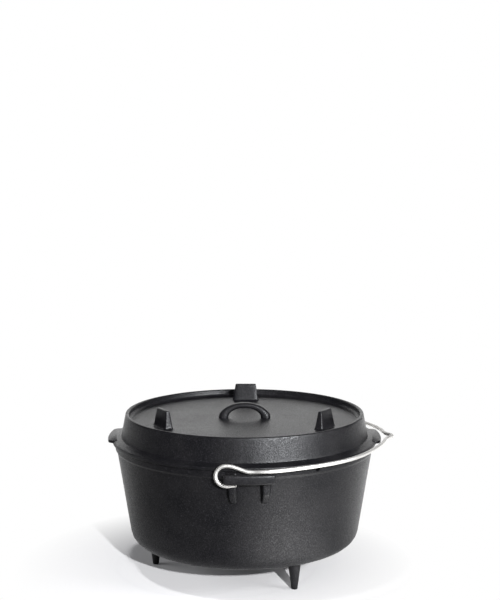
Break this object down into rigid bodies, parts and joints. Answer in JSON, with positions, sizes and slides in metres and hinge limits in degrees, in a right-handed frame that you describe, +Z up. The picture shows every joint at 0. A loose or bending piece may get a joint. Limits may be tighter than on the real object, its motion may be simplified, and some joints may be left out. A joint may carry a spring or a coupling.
{
  "type": "three-legged camp oven pot",
  "caption": "Round cast iron camp pot on cast legs, with ears for a folding wire bail and a flanged lid that has an arch handle and stub feet.",
  "frame": {"origin": "on the ground, on the pot's own vertical axis between its three feet", "axes": "+Z up along the pot's axis; the two ears face -Y and +Y; one leg points to -X and the folded bail lies to +X"},
  "size_m": [0.3949, 0.3966, 0.2329],
  "materials": {
    "cast_iron": "satin black seasoned casting",
    "steel_wire": "bright drawn wire"
  },
  "bodies": {
    "pot": {"pot": "cast_iron"},
    "lid": {"lid": "cast_iron"},
    "bail": {"bail": "steel_wire"}
  },
  "joints": [
    {"name": "lid_lift", "type": "slide", "parent": "pot", "child": "lid", "axis": [0, 0, 1], "range_m": [0, 0.25]},
    {"name": "bail_swing", "type": "hinge", "parent": "pot", "child": "bail", "pos_m": [0, 0, 0.1712], "axis": [-0.1168, -0.9932, 0], "range_deg": [0, 171.4]}
  ]
}
